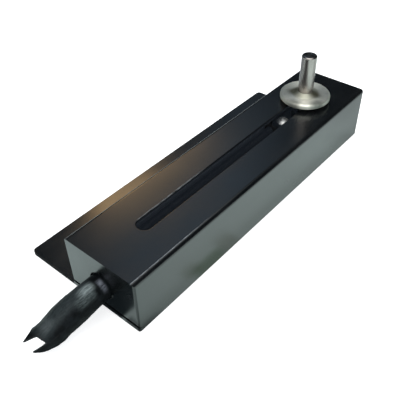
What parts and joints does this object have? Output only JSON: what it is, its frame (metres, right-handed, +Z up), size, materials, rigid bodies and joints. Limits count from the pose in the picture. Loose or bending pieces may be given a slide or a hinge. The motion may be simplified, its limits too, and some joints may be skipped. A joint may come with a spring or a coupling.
{
  "type": "slide potentiometer",
  "caption": "Long metal slide potentiometer: box housing on a side-flanged base plate, slotted top, round drive pin with a turned flange, sleeved lead at one end.",
  "frame": {"origin": "middle of the mounting face, under the base plate", "axes": "+X along the travel, away from the lead; +Y toward the flange; +Z up, out of the mounting face"},
  "size_m": [0.1097, 0.0348, 0.0276],
  "materials": {
    "base_plate": "glossy black paint",
    "cover": "glossy black paint",
    "clinch_nuts": "plain turned steel",
    "base_screws": "dark zinc",
    "mechanism_frame": "zinc-plated sheet",
    "frame_rivets": "plain",
    "left_guide_rod": "ground steel",
    "right_guide_rod": "ground steel",
    "rod_retaining_rings": "dark spring steel",
    "rod_bumpers": "matt black rubber",
    "resistance_board": "brown laminate",
    "resistive_track": "dark carbon film",
    "collector_track": "silver film",
    "contact_traces": "silver film",
    "terminal_pins": "tinned brass",
    "solder_joints": "bright solder",
    "start_lead_wire": "red insulation",
    "wiper_lead_wire": "white insulation",
    "end_lead_wire": "black insulation",
    "sleeve_clamp": "crimped ring",
    "cable_sleeve": "soft black sleeve with a slight sheen",
    "carriage": "natural moulded plastic",
    "threaded_insert": "knurled brass",
    "driver_plate": "nickel-plated steel",
    "plate_screws": "zinc-plated",
    "drive_pin": "turned, bright",
    "lock_nut": "zinc-plated",
    "wiper": "spring bronze"
  },
  "bodies": {
    "housing": {"base_plate": "base_plate", "cover": "cover", "clinch_nuts": "clinch_nuts", "base_screws": "base_screws", "mechanism_frame": "mechanism_frame", "frame_rivets": "frame_rivets", "left_guide_rod": "left_guide_rod", "right_guide_rod": "right_guide_rod", "rod_retaining_rings": "rod_retaining_rings", "rod_bumpers": "rod_bumpers", "resistance_board": "resistance_board", "resistive_track": "resistive_track", "collector_track": "collector_track", "contact_traces": "contact_traces", "terminal_pins": "terminal_pins", "solder_joints": "solder_joints", "start_lead_wire": "start_lead_wire", "wiper_lead_wire": "wiper_lead_wire", "end_lead_wire": "end_lead_wire", "sleeve_clamp": "sleeve_clamp", "cable_sleeve": "cable_sleeve"},
    "slider": {"carriage": "carriage", "threaded_insert": "threaded_insert", "driver_plate": "driver_plate", "plate_screws": "plate_screws", "drive_pin": "drive_pin", "lock_nut": "lock_nut", "wiper": "wiper"}
  },
  "joints": [
    {"name": "slider_travel", "type": "slide", "parent": "housing", "child": "slider", "axis": [1, 0, 0], "range_m": [-0.061, 0]}
  ]
}
